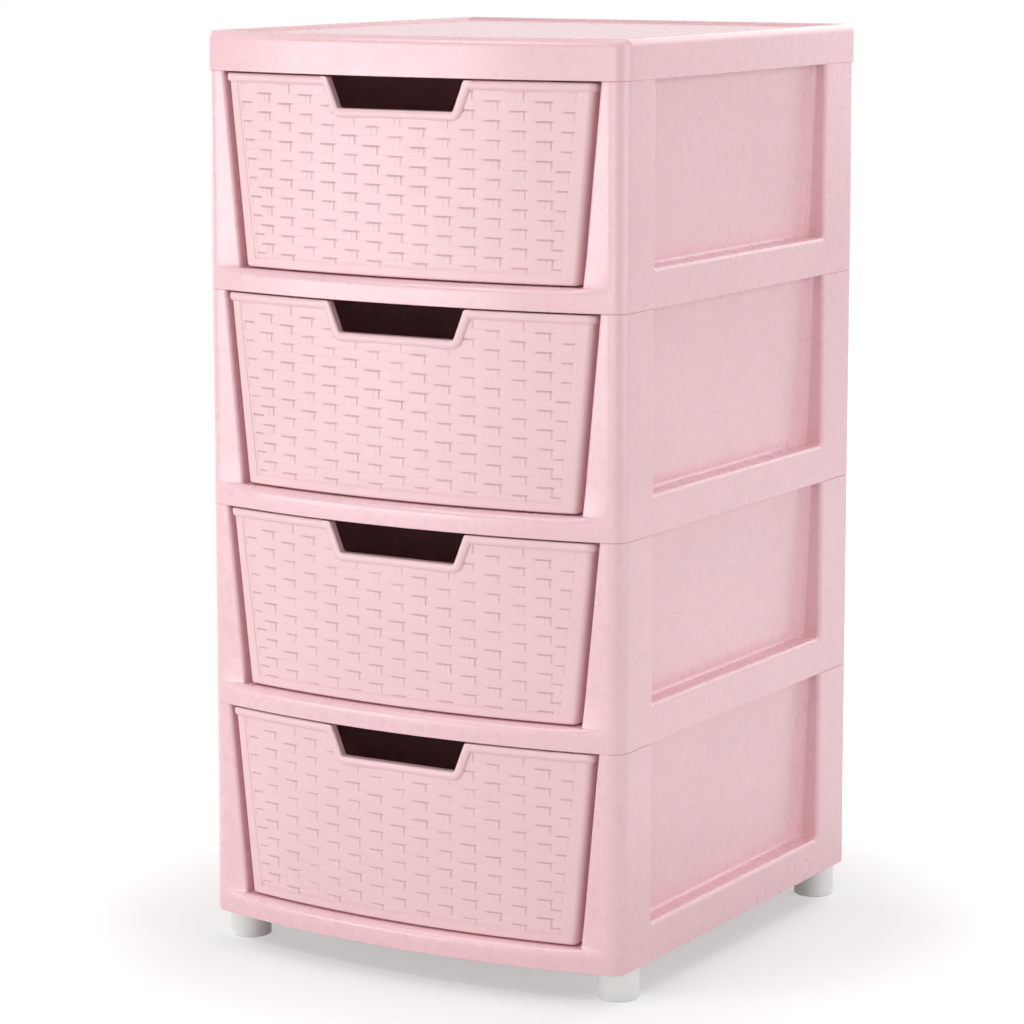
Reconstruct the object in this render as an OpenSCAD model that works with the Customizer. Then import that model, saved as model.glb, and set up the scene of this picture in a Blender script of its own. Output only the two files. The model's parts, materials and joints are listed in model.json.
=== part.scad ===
/* [Tower] */
// Width of the tier frames
body_w = 400; // [360:1:440]
// Depth of the tier frames, from the face of the posts to the back
body_d = 423; // [370:1:470]
// How far the middle of each front rail stands ahead of the posts
bow = 22; // [16:0.5:30]
// How far each front rail stands ahead of the posts at the corners
bow_end = 0.5; // [0.5:0.5:6]
// Radius of the two front upright corners
corner_r = 14; // [10:1:20]
// Radius of the two back upright corners
back_r = 9; // [6:1:14]
// Thickness of the moulded walls
wall = 2; // [1.6:0.1:2.6]

/* [Tiers] */
// Height of a full tier, from seam to seam
tier_h = 183; // [150:1:220]
// Height of the shallower tier, second from the floor
low_tier_h = 172; // [140:1:210]
// Height of the bowed front rail, which is level with the deck
rail_h = 19.5; // [17:0.5:24]
// Radius of the rail's rounded nose
nose_r = 7; // [4:0.5:8]
// Thickness of the deck that the drawer slides on
deck_t = 2; // [1.6:0.1:3]
// Width of each front post at its top
post_top_w = 20.5; // [18:0.5:23]
// Width of each front post at its foot
post_foot_w = 36; // [32:0.5:40]
// Depth of the flange that each post turns into the opening
return_d = 24; // [18:1:30]

/* [Recessed walls] */
// Height of the base rail under each side recess
ledge_h = 33; // [26:1:44]
// Depth of a side recess at its top
side_recess_top = 12.5; // [9:0.5:13.5]
// Depth of a side recess at its foot
side_recess_foot = 17.5; // [13:0.5:19]
// Depth of the back recess
back_recess = 9; // [5:0.5:12]
// Length of the front post, seen from the side
front_post_d = 55; // [44:1:70]
// Length of the back post, seen from the side
back_post_d = 58; // [48:1:80]
// Width of a back post, seen from behind
back_post_w = 46; // [40:1:60]

/* [Under the deck] */
// Thickness of the ribs
rib_t = 1.6; // [1.2:0.1:2.4]
// Depth of the ribs below the deck
rib_h = 8; // [5:0.5:9]
// Spacing of the ribs that run from front to back
rib_pitch = 56; // [45:1:66]
// Spacing of the two cross ribs
cross_pitch = 130; // [90:1:160]
// Distance of the drawer stop behind the face of the posts
stop_in = 14; // [8:1:16]
// Height of the strips that guide the drawer
guide_h = 3; // [2:0.5:6]

/* [Stacking keys] */
// Length of each key
key_l = 26; // [18:1:28]
// Height of each key above the seam
key_h = 8; // [5:0.5:10]
// Depth of the root that joins each key to its wall
key_root = 10; // [6:0.5:16]
// Thickness of each key
key_t = 2; // [1.5:0.1:2.5]
// Clearance between a key and the wall that it locates
key_gap = 0.4; // [0.3:0.05:0.8]

/* [Cover] */
// Height of the cover
cover_h = 33; // [26:1:44]
// How far the cover overhangs the frames
cover_over = 1.5; // [0.5:0.1:2]
// Radius of the cover's rounded top edge
cover_edge_r = 7; // [4:0.5:9]
// Thickness of the cover's top
cover_t = 2.2; // [1.8:0.1:3]
// Depth of the tray in the cover's top
tray_d = 3; // [1.5:0.5:4]
// Width of the rim round the tray
tray_rim = 13; // [11:0.5:20]

/* [Drawers] */
// Gap between a drawer's face and the post at each side
side_gap = 5; // [4.5:0.1:7]
// How far the head of the face stands behind the rail above
face_back_top = 2.5; // [2:0.5:9]
// How far the foot of the face stands behind the rail below
face_back_foot = 7; // [6:0.5:20]
// Thickness of the front wall
front_t = 3.2; // [2.8:0.1:4.5]
// Thickness of the side and back walls
tub_t = 1.8; // [1.5:0.1:2.5]
// Thickness of the drawer's floor
floor_t = 2; // [1.6:0.1:3]
// How far the back wall leans in towards the floor
back_lean = 8; // [4:1:14]
// Clearance between a drawer and the deck
slide_gap = 1.2; // [0.6:0.1:2]
// Clearance between a drawer and the frame above
top_gap = 1.2; // [0.8:0.1:2]
// Clearance between a drawer and its guide strips
guide_gap = 2; // [1.2:0.1:3]
// Clearance between a shut drawer and the back wall
back_gap = 6; // [3:0.5:12]
// How far a drawer pulls out
travel = 280; // [200:1:300]
// Clearance left at the stop when the drawer is fully out
stop_gap = 0.5; // [0.4:0.1:1]

/* [Rim and hand hole] */
// Height of the rim round the top of a drawer
rim_h = 7.5; // [5:0.5:10]
// How far the rim stands out from the walls
rim_out = 2; // [1:0.1:2.4]
// Width of the hand hole at its top
hole_top_w = 130; // [110:1:150]
// Width of the hand hole at its foot
hole_bottom_w = 109; // [90:1:120]
// Depth of the hand hole below the rim
hole_d = 25.5; // [20:0.5:32]
// Width of the bead round the hand hole
bead_w = 7.5; // [5:0.5:10]
// Depth of the finger lip behind the hand hole
lip_d = 3; // [2:0.5:10]
// Thickness of the finger lip
lip_t = 2.5; // [1.5:0.1:3]
// Plain border at each side of the woven field
border_side = 11; // [8:0.5:16]
// Plain border under the woven field
border_foot = 7.5; // [5:0.5:12]
// Depth of the pocket that the woven field lies in
field_d = 1.2; // [0.8:0.1:1.6]

/* [Stop nibs] */
// Height of a stop nib above the seam
nib_h = 4.5; // [3:0.5:6]
// Width of a stop nib
nib_w = 5; // [4:0.5:6]
// Length of a stop nib
nib_l = 8; // [5:0.5:12]
// Depth of the root that joins a nib to the drawer's side
nib_root = 8; // [6:0.5:12]
// Clearance between a nib and the peg sockets that it passes
nib_gap = 1; // [0.6:0.1:3]

/* [Feet] */
// Height of the tower's underside above the floor
foot_h = 26; // [18:1:40]
// Diameter of a foot
foot_d = 35; // [30:0.5:37]
// Wall of a foot
foot_t = 3; // [2:0.1:5]
// How far a foot stands in from the side
foot_inset = 0.5; // [0:0.5:2]
// Distance of a front foot's axis from the face of the posts
foot_front_in = 31; // [30:0.5:36]
// Distance of a back foot's axis from the back
foot_back_in = 28; // [24:0.5:34]
// Diameter of the peg on a foot
peg_d = 15; // [12:0.5:15]
// Height of the peg on a foot
peg_h = 13; // [8:0.5:14]
// Radial clearance of the peg in its socket
peg_gap = 0.2; // [0.15:0.05:0.3]
// Wall of a peg socket
socket_t = 2; // [1.5:0.1:2.2]

/* [Hidden] */

$fn = 64;
bow_fn = 720;
over = 1;            // how far a cutter runs past the face that it cuts
least_r = 0.5;       // least radius of an inset corner

FRAME_PINK = [0.945, 0.765, 0.795];
DRAWER_PINK = [0.955, 0.790, 0.815];
FOOT_WHITE = [0.93, 0.93, 0.91];

half_w = body_w / 2;
y_back = (body_d + bow) / 2;
y_post = y_back - body_d;
y_bow = y_post - bow;

// Half widths of the front opening and of a drawer's face, at the top and at the foot
open_top = half_w - post_top_w;
open_foot = half_w - post_foot_w;
face_top = open_top - side_gap;
face_foot = open_foot - side_gap;

// The front rails, the cover and the drawer faces curve about one upright axis. The bow runs into the round
// corners, whose centres lie corner_x from the middle and, on the rails, bow_end ahead of those of the posts.
sagitta = bow - bow_end;
corner_x = half_w - corner_r;
bow_r = (corner_x * corner_x + sagitta * sagitta) / (2 * sagitta) + corner_r;
bow_y = y_bow + bow_r;
ring_in = bow_y - y_back - 3 * over;

deck_under = rail_h - deck_t;
y_stop = y_post + stop_in;
y_stop_back = y_stop + wall;
y_deep = y_post + 100;   // how far the cutters of the face reach into the tower

// Tiers from the floor up
tier_heights = [tier_h, low_tier_h, tier_h, tier_h];
function tier_z(i) = i == 0 ? foot_h : tier_z(i - 1) + tier_heights[i - 1];
top_z = tier_z(len(tier_heights));

// A drawer's walls lean. lean() runs from 0 at its foot to 1 at its head, in a tier of height h.
tub_foot = rail_h + slide_gap;
y_tub = y_back - back_recess - wall - back_gap;
function tub_head(h) = h - top_gap;
function lean(h, z) = (z - tub_foot) / (tub_head(h) - tub_foot);
function face_half(h, z) = face_foot + (face_top - face_foot) * lean(h, z);
function face_radius(h, z) = bow_r - face_back_foot + (face_back_foot - face_back_top) * lean(h, z);
function tub_back(h, z) = y_tub - back_lean * (1 - lean(h, z));

foot_x = half_w - foot_inset - foot_d / 2;
foot_front_y = y_post + foot_front_in;
foot_back_y = y_back - foot_back_in;
bore_r = peg_d / 2 + peg_gap;
nib_x = foot_x - bore_r - socket_t - nib_gap;

// Extrudes a profile drawn in X and Z along Y, from y1 to y2.
module along_y(y1, y2) {
    translate([0, y2, 0]) rotate([90, 0, 0]) linear_extrude(y2 - y1) children();
}

// Extrudes a profile drawn in Y and Z along X, across the whole width.
module across_x(half) {
    rotate([90, 0, 90]) translate([0, 0, -half]) linear_extrude(2 * half) children();
}

// Turns a profile drawn in radius and Z about the axis of the bow.
module about_bow() {
    translate([0, bow_y, 0]) rotate_extrude($fn = bow_fn) children();
}

// A four-sided profile, symmetric about X = 0.
module taper(low_half, low_z, high_half, high_z) {
    polygon([[-low_half, low_z], [low_half, low_z], [high_half, high_z], [-high_half, high_z]]);
}

// A block with its outer top corner rounded, from x1 to x2 and z = 0 to z = h.
module rounded_shoulder(x1, x2, h, r) {
    translate([x1, 0]) square([x2 - x1 - r, h]);
    translate([x1, 0]) square([x2 - x1, h - r]);
    translate([x2 - r, h - r]) circle(r = r);
}

// Outline of a frame at its posts, moved out by grow.
module post_plan(grow = 0) {
    front_r = max(corner_r + grow, least_r);
    rear_r = max(back_r + grow, least_r);
    front_y = y_post - grow + front_r;
    rear_y = y_back + grow - rear_r;
    half = half_w + grow;
    for (side = [-1, 1]) {
        translate([side * (half - front_r), front_y]) circle(r = front_r);
        translate([side * (half - rear_r), rear_y]) circle(r = rear_r);
    }
    translate([-half, front_y]) square([2 * half, rear_y - front_y]);
    translate([front_r - half, y_post - grow]) square([2 * (half - front_r), rear_y - y_post]);
    translate([rear_r - half, front_y]) square([2 * (half - rear_r), y_back + grow - front_y]);
}

// Outline of a rail or of the cover, with its bowed front, moved out by grow.
module bowed_plan(grow = 0) {
    front_r = max(corner_r + grow, least_r);
    rear_r = max(back_r + grow, least_r);
    half = half_w + grow;
    front_x = half - front_r;
    front_run = sqrt(pow(bow_r + grow - front_r, 2) - front_x * front_x);
    front_y = bow_y - front_run;
    rear_y = y_back + grow - rear_r;
    near = 0.9;
    far = 1.2;
    intersection() {
        translate([0, bow_y]) circle(r = bow_r + grow, $fn = bow_fn);
        polygon([[-front_x * near, bow_y - front_run * near],
                 [-front_x * far, bow_y - front_run * far],
                 [front_x * far, bow_y - front_run * far],
                 [front_x * near, bow_y - front_run * near]]);
    }
    for (side = [-1, 1]) {
        translate([side * front_x, front_y]) circle(r = front_r);
        translate([side * (half - rear_r), rear_y]) circle(r = rear_r);
    }
    translate([-half, front_y]) square([2 * half, rear_y - front_y]);
    translate([rear_r - half, front_y]) square([2 * (half - rear_r), y_back + grow - front_y]);
}

// The bowed rail across the foot of a frame
module front_rail() {
    intersection() {
        linear_extrude(rail_h) bowed_plan();
        about_bow() rounded_shoulder(ring_in, bow_r, rail_h, nose_r);
    }
}

// The trapezoid that the drawer passes through, moved out by grow
module opening(h, grow, depth) {
    along_y(y_post - over, y_post + depth)
        taper(open_foot + grow, rail_h, open_top + grow, h + over);
}

// The recess in each side wall, moved in by grow
module side_recesses(h, grow = 0) {
    low_x = half_w - side_recess_foot - grow;
    high_x = half_w - side_recess_top - grow;
    for (side = [0, 1])
        mirror([side, 0, 0])
            along_y(y_post + front_post_d - grow, y_back - back_post_d + grow)
                polygon([[low_x, ledge_h - grow], [half_w + over, ledge_h - grow],
                         [half_w + over, h + over], [high_x, h + over]]);
}

// The recess in the back wall, moved in by grow
module back_recess_block(h, grow = 0) {
    half = half_w - back_post_w + grow;
    translate([-half, y_back - back_recess - grow, ledge_h - grow])
        cube([2 * half, back_recess + grow + over, h]);
}

// The open bay above the deck
module bay(h) {
    difference() {
        translate([0, 0, rail_h]) linear_extrude(h) post_plan(-wall);
        side_recesses(h, wall);
        back_recess_block(h, wall);
        opening(h, wall, return_d);
    }
    opening(h, 0, return_d + over);
}

// The hollow under the deck and behind the rail
module under_deck() {
    translate([0, 0, -over]) linear_extrude(over + rail_h - nose_r) bowed_plan(-wall);
    linear_extrude(deck_under) post_plan(-wall);
}

// Ribs from front to back and across, hanging from the underside at z = under
module underside_ribs(under) {
    low = under - rib_h;
    join = wall / 2;
    for (i = [-2 : 2])
        translate([i * rib_pitch - rib_t / 2, y_stop + join, low])
            cube([rib_t, y_back - y_stop - 2 * join, rib_h + join]);
    for (side = [-1, 1])
        translate([join - half_w, side * cross_pitch / 2, low])
            cube([body_w - 2 * join, rib_t, rib_h + join]);
}

// The wall that catches the stop nibs of the drawer below, up to z = under
module drawer_stop(under) {
    join = wall / 2;
    translate([join - half_w, y_stop, 0]) cube([body_w - 2 * join, wall, under + join]);
}

// A socket for the peg of a foot
module peg_socket(x, y) {
    translate([x, y, 0]) difference() {
        cylinder(r = bore_r + socket_t, h = deck_under + deck_t / 2);
        translate([0, 0, -over]) cylinder(r = bore_r, h = deck_under + over);
    }
}

// A key on the top edge of a wall, with its root on the wall's inner face.
// It is drawn against a wall whose inner face is at x = 0, with the wall at +x.
module stacking_key() {
    root = key_gap + key_t;
    translate([-root, 0, -key_root]) cube([root + wall / 2, key_l, key_root]);
    translate([-root, 0, 0]) cube([key_t, key_l, key_h]);
}

module stacking_keys(h) {
    key_x = half_w - wall;
    front_y = y_stop_back + key_gap;
    back_y = y_back - back_post_d + wall + over;
    back_x = half_w - back_post_w + wall + over;
    for (side = [0, 1])
        mirror([side, 0, 0]) {
            translate([key_x, front_y, h]) stacking_key();
            translate([key_x, back_y, h]) stacking_key();
            translate([back_x + key_l, y_back - wall, h]) rotate([0, 0, 90]) stacking_key();
        }
}

// The strips on the deck that keep the drawer in line
module drawer_guides() {
    guide_x = face_foot + guide_gap;
    y1 = y_post + return_d;
    for (side = [0, 1])
        mirror([side, 0, 0])
            translate([guide_x, y1, rail_h - deck_t / 2])
                cube([rib_t, y_tub - y1, guide_h + deck_t / 2]);
}

// One open-topped frame: deck, bowed rail, posts, recessed walls
module tier_frame(h) {
    difference() {
        union() {
            linear_extrude(h) post_plan();
            front_rail();
        }
        side_recesses(h);
        back_recess_block(h);
        bay(h);
        under_deck();
    }
    underside_ribs(deck_under);
    drawer_stop(deck_under);
    drawer_guides();
    stacking_keys(h);
    for (x = [-foot_x, foot_x], y = [foot_front_y, foot_back_y]) peg_socket(x, y);
}

// The solid inside a drawer's walls, from z1 to z2, moved in by the three insets.
// Each edge is worked out at the height where it lies.
module drawer_mass(h, z1, z2, side_in, front_in, back_in) {
    intersection() {
        along_y(y_bow - over, y_back)
            taper(face_half(h, z1) - side_in, z1, face_half(h, z2) - side_in, z2);
        about_bow()
            polygon([[ring_in, z1], [face_radius(h, z1) - front_in, z1],
                     [face_radius(h, z2) - front_in, z2], [ring_in, z2]]);
        across_x(half_w)
            polygon([[y_bow - over, z1], [tub_back(h, z1) - back_in, z1],
                     [tub_back(h, z2) - back_in, z2], [y_bow - over, z2]]);
    }
}

// The part of the front wall between two depths behind its face
module front_slice(h, z1, z2, from, to) {
    difference() {
        drawer_mass(h, z1, z2, -rim_out, from, 0);
        drawer_mass(h, z1 - over, z2 + over, -half_w, to, -body_d);
    }
}

// The outline of the hand hole, moved out by grow
module hand_hole(h, grow) {
    along_y(y_bow - over, y_deep)
        taper(hole_bottom_w / 2 + grow, tub_head(h) - hole_d - grow,
              hole_top_w / 2 + grow, tub_head(h) + over);
}

// The outline of the woven field
module woven_field(h) {
    along_y(y_bow - over, y_deep)
        taper(face_foot - border_side, tub_foot + border_foot,
              face_top - border_side, tub_head(h) - rim_h);
}

// The level band that the rim lies in
module rim_band(head) {
    translate([-half_w, y_bow - over, head - rim_h])
        cube([body_w, body_d + bow + over, rim_h + over]);
}

// One drawer, drawn in the place that it has in its own frame
module drawer_tub(h) {
    head = tub_head(h);
    difference() {
        union() {
            difference() {
                union() {
                    drawer_mass(h, tub_foot, head, 0, 0, 0);
                    intersection() {
                        drawer_mass(h, tub_foot, head, -rim_out, -rim_out, -rim_out);
                        union() {
                            hand_hole(h, bead_w);
                            rim_band(head);
                        }
                    }
                }
                drawer_mass(h, tub_foot + floor_t, head + over, tub_t, front_t, tub_t);
            }
            intersection() {
                front_slice(h, tub_foot, head, front_t / 2, front_t + lip_d);
                hand_hole(h, lip_t);
            }
        }
        hand_hole(h, 0);
        difference() {
            intersection() {
                front_slice(h, tub_foot, head, -rim_out - over, field_d);
                woven_field(h);
            }
            hand_hole(h, bead_w);
        }
    }
    stop_nibs(h);
}

// The two nibs on the side walls that meet the stop when the drawer is out
module stop_nibs(h) {
    nib_y = y_stop_back + stop_gap + travel;
    nib_foot = tub_head(h) - nib_root;
    wall_x = face_half(h, nib_foot) - tub_t / 2;
    low_x = nib_x - nib_w;
    for (side = [0, 1])
        mirror([side, 0, 0])
            translate([low_x, nib_y, nib_foot]) {
                cube([wall_x - low_x, nib_l, nib_root]);
                cube([nib_w, nib_l, nib_root + top_gap + nib_h]);
            }
}

// The top of the tower: a rounded cover with a shallow tray
module top_cover() {
    under = cover_h - tray_d - cover_t;
    half = half_w + cover_over;
    color(FRAME_PINK) translate([0, 0, top_z]) {
        difference() {
            intersection() {
                linear_extrude(cover_h) bowed_plan(cover_over);
                about_bow() rounded_shoulder(ring_in, bow_r + cover_over, cover_h, cover_edge_r);
                along_y(y_bow - body_d, y_back + body_d)
                    for (side = [0, 1])
                        mirror([side, 0]) rounded_shoulder(-over, half, cover_h, cover_edge_r);
                across_x(body_w)
                    rounded_shoulder(y_bow - body_d, y_back + cover_over, cover_h, cover_edge_r);
            }
            translate([0, 0, cover_h - tray_d])
                linear_extrude(cover_h) bowed_plan(cover_over - tray_rim);
            translate([0, 0, -over]) linear_extrude(over + under) bowed_plan(-wall);
        }
        underside_ribs(under);
        drawer_stop(under);
    }
}

module tier(i) {
    color(FRAME_PINK) translate([0, 0, tier_z(i)]) tier_frame(tier_heights[i]);
}

module drawer(i) {
    color(DRAWER_PINK) translate([0, 0, tier_z(i)]) drawer_tub(tier_heights[i]);
}

// A hollow push-in foot, open below, at one corner
module foot(x, y) {
    color(FOOT_WHITE) translate([x, y, 0]) difference() {
        union() {
            cylinder(d = foot_d, h = foot_h);
            cylinder(d = peg_d, h = foot_h + peg_h);
        }
        translate([0, 0, -over]) cylinder(d = foot_d - 2 * foot_t, h = foot_h - foot_t + over);
    }
}

top_cover();
tier(0);  // tier_1
tier(1);  // tier_2
tier(2);  // tier_3
tier(3);  // tier_4
drawer(0);  // drawer_1
drawer(1);  // drawer_2
drawer(2);  // drawer_3
drawer(3);  // drawer_4
foot(-foot_x, foot_front_y);  // foot_front_left
foot(foot_x, foot_front_y);  // foot_front_right
foot(-foot_x, foot_back_y);  // foot_back_left
foot(foot_x, foot_back_y);  // foot_back_right
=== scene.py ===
"""Looks of the four-drawer tower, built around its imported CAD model.

Lengths are in millimetres until a mesh is made. Lights and the nodes of materials work in metres.
"""

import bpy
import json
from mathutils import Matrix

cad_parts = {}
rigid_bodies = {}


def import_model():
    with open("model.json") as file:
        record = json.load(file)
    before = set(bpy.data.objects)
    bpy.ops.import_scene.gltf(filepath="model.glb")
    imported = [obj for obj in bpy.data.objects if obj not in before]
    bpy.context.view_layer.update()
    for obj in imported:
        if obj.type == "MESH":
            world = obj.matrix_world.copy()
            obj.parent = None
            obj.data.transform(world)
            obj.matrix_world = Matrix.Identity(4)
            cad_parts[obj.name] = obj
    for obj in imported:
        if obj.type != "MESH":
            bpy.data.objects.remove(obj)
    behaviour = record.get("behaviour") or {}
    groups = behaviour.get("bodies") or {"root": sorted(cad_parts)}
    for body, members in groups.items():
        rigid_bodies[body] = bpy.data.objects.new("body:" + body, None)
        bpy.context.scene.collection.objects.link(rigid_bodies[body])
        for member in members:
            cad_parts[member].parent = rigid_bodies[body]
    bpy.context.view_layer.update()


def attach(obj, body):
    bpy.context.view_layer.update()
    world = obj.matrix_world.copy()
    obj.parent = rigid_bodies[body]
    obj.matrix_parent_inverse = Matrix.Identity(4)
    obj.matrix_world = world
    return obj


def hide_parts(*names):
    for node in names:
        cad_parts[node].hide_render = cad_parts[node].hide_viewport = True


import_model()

import json
import math

import bmesh
import bpy
from mathutils import Matrix, Vector

MM = 0.001
OVER = 1.0      # how far a cutter runs past the face that it cuts, and a joined piece into its neighbour

# ---------------------------------------------------------------- sizes, as in the CAD source
BODY_W, BODY_D, BOW, BOW_END = 400.0, 423.0, 22.0, 0.5
CORNER_R, BACK_R, WALL = 14.0, 9.0, 2.0
TIER_H = [183.0, 172.0, 183.0, 183.0]
FOOT_H = 26.0
RAIL_H, NOSE_R, DECK_T = 19.5, 7.0, 2.0
POST_TOP_W, POST_FOOT_W, RETURN_D = 20.5, 36.0, 24.0
LEDGE_H, SIDE_TOP, SIDE_FOOT = 33.0, 12.5, 17.5
BACK_RECESS, FRONT_POST_D, BACK_POST_D, BACK_POST_W = 9.0, 55.0, 58.0, 46.0
RIB_T, RIB_H, RIB_PITCH, CROSS_PITCH, STOP_IN, GUIDE_H = 1.6, 8.0, 56.0, 130.0, 14.0, 3.0
KEY_L, KEY_H, KEY_ROOT, KEY_T, KEY_GAP = 26.0, 8.0, 10.0, 2.0, 0.4
COVER_H, COVER_OVER, COVER_EDGE_R, COVER_T, TRAY_D, TRAY_RIM = 33.0, 1.5, 7.0, 2.2, 3.0, 13.0
SIDE_GAP, FACE_BACK_TOP, FACE_BACK_FOOT = 5.0, 2.5, 7.0
FRONT_T, TUB_T, FLOOR_T, BACK_LEAN = 3.2, 1.8, 2.0, 8.0
SLIDE_GAP, TOP_GAP, GUIDE_GAP, BACK_GAP = 1.2, 1.2, 2.0, 6.0
TRAVEL, STOP_GAP = 280.0, 0.5
RIM_H, RIM_OUT = 7.5, 2.0
HOLE_TOP, HOLE_FOOT, HOLE_D, BEAD_W, LIP_D, LIP_T = 65.0, 54.5, 25.5, 7.5, 3.0, 2.5
BORDER_SIDE, BORDER_FOOT = 11.0, 7.5
NIB_H, NIB_W, NIB_L, NIB_ROOT, NIB_GAP = 4.5, 5.0, 8.0, 8.0, 1.0
FOOT_D, FOOT_T, PEG_D, PEG_H, PEG_GAP, SOCKET_T = 35.0, 3.0, 15.0, 13.0, 0.2, 2.0
FOOT_INSET, FOOT_FRONT_IN, FOOT_BACK_IN = 0.5, 31.0, 28.0

HALF_W = BODY_W / 2
Y_BACK = (BODY_D + BOW) / 2
Y_POST = Y_BACK - BODY_D
Y_BOW = Y_POST - BOW
OPEN_TOP, OPEN_FOOT = HALF_W - POST_TOP_W, HALF_W - POST_FOOT_W
FACE_TOP, FACE_FOOT = OPEN_TOP - SIDE_GAP, OPEN_FOOT - SIDE_GAP
SAGITTA = BOW - BOW_END
BOW_R = ((HALF_W - CORNER_R) ** 2 + SAGITTA ** 2) / (2 * SAGITTA) + CORNER_R
BOW_Y = Y_BOW + BOW_R
DECK_UNDER = RAIL_H - DECK_T
Y_STOP = Y_POST + STOP_IN
TUB_FOOT = RAIL_H + SLIDE_GAP
Y_TUB = Y_BACK - BACK_RECESS - WALL - BACK_GAP
FOOT_X = HALF_W - FOOT_INSET - FOOT_D / 2
FOOT_FRONT_Y, FOOT_BACK_Y = Y_POST + FOOT_FRONT_IN, Y_BACK - FOOT_BACK_IN
BORE_R = PEG_D / 2 + PEG_GAP
TIER_Z = [FOOT_H + sum(TIER_H[:i]) for i in range(len(TIER_H))]
TOP_Z = FOOT_H + sum(TIER_H)

# ---------------------------------------------------------------- mesh tools


def new_object(name, points, faces):
    """A mesh object from points in millimetres, with its faces turned outwards."""
    mesh = bpy.data.meshes.new(name)
    mesh.from_pydata([Vector(p) * MM for p in points], [], faces)
    bm = bmesh.new()
    bm.from_mesh(mesh)
    bmesh.ops.recalc_face_normals(bm, faces=bm.faces)
    bm.to_mesh(mesh)
    bm.free()
    obj = bpy.data.objects.new(name, mesh)
    bpy.context.scene.collection.objects.link(obj)
    return obj


def loft(name, rings):
    """A solid skinned over rings with equal numbers of points, capped at its ends."""
    n, m = len(rings[0]), len(rings)
    points = [p for ring in rings for p in ring]
    faces = []
    for k in range(m - 1):
        a, b = k * n, (k + 1) * n
        faces += [(a + i, a + (i + 1) % n, b + (i + 1) % n, b + i) for i in range(n)]
    faces += [tuple(range(n)), tuple((m - 1) * n + i for i in range(n))]
    return new_object(name, points, faces)


def prism_z(plan, z1, z2):
    return loft("tool", [[(x, y, z) for x, y in plan] for z in (z1, z2)])


def prism_y(profile, y1, y2):
    return loft("tool", [[(x, y, z) for x, z in profile] for y in (y1, y2)])


def block(x1, x2, y1, y2, z1, z2):
    return prism_z([(x1, y1), (x2, y1), (x2, y2), (x1, y2)], z1, z2)


def disc(x, y, r, n=48):
    turns = [2 * math.pi * i / n for i in range(n)]
    return [(x + r * math.cos(a), y + r * math.sin(a)) for a in turns]


def bake(obj):
    """Applies an object's modifiers."""
    mesh = bpy.data.meshes.new_from_object(obj.evaluated_get(bpy.context.evaluated_depsgraph_get()))
    obj.modifiers.clear()
    old, obj.data = obj.data, mesh
    bpy.data.meshes.remove(old)


def combine(obj, operation, *tools):
    """Adds, cuts or intersects obj with each tool, and removes the tools."""
    for tool in tools:
        mod = obj.modifiers.new("combine", "BOOLEAN")
        mod.operation, mod.object, mod.solver = operation, tool, "MANIFOLD"
        bake(obj)
        mesh = tool.data
        bpy.data.objects.remove(tool)
        bpy.data.meshes.remove(mesh)
    return obj


def cut(obj, *tools):
    return combine(obj, "DIFFERENCE", *tools)


def add(obj, *tools):
    return combine(obj, "UNION", *tools)


def keep(obj, *tools):
    return combine(obj, "INTERSECT", *tools)


def placed_copy(name, mesh, dz):
    """A new object with its own copy of a mesh, moved up by dz."""
    obj = bpy.data.objects.new(name, mesh.copy())
    bpy.context.scene.collection.objects.link(obj)
    obj.data.transform(Matrix.Translation((0, 0, dz * MM)))
    return obj


def quarter(n):
    """(1 - cos, sin) at n even steps after 0 up to a quarter turn."""
    return [(1 - math.cos(math.pi / 2 * i / n), math.sin(math.pi / 2 * i / n)) for i in range(1, n + 1)]


def ease(t):
    """A smooth step from 0 to 1."""
    t = min(1.0, max(0.0, t))
    return t * t * (3 - 2 * t)


def smooth(obj, angle=28.0, weight=80):
    """Smooth shading up to an angle, with flat faces kept flat by the weight of large ones."""
    mesh = obj.data
    mesh.polygons.foreach_set("use_smooth", [True] * len(mesh.polygons))
    mesh.set_sharp_from_angle(angle=math.radians(angle))
    mod = obj.modifiers.new("weighted", "WEIGHTED_NORMAL")
    mod.mode, mod.weight, mod.keep_sharp = "FACE_AREA", weight, True
    bake(obj)
    return obj


# ---------------------------------------------------------------- outlines

LEAST_R = 0.5       # least radius of an inset corner


def plan(bowed, grow=0.0, front_n=48, corner_n=8):
    """Outline of a rail or cover (bowed) or of a frame at its posts, moved out by grow."""
    front_r, rear_r = max(CORNER_R + grow, LEAST_R), max(BACK_R + grow, LEAST_R)
    half = HALF_W + grow
    cx = half - front_r
    if bowed:
        run = math.sqrt((BOW_R + grow - front_r) ** 2 - cx * cx)
        cy, tilt = BOW_Y - run, math.atan2(cx, run)
    else:
        cy, tilt = Y_POST - grow + front_r, 0.0
    return corners(cx, cy, tilt, BOW_R + grow if bowed else None, front_r,
                   half - rear_r, Y_BACK + grow - rear_r, rear_r, front_n, corner_n)


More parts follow.
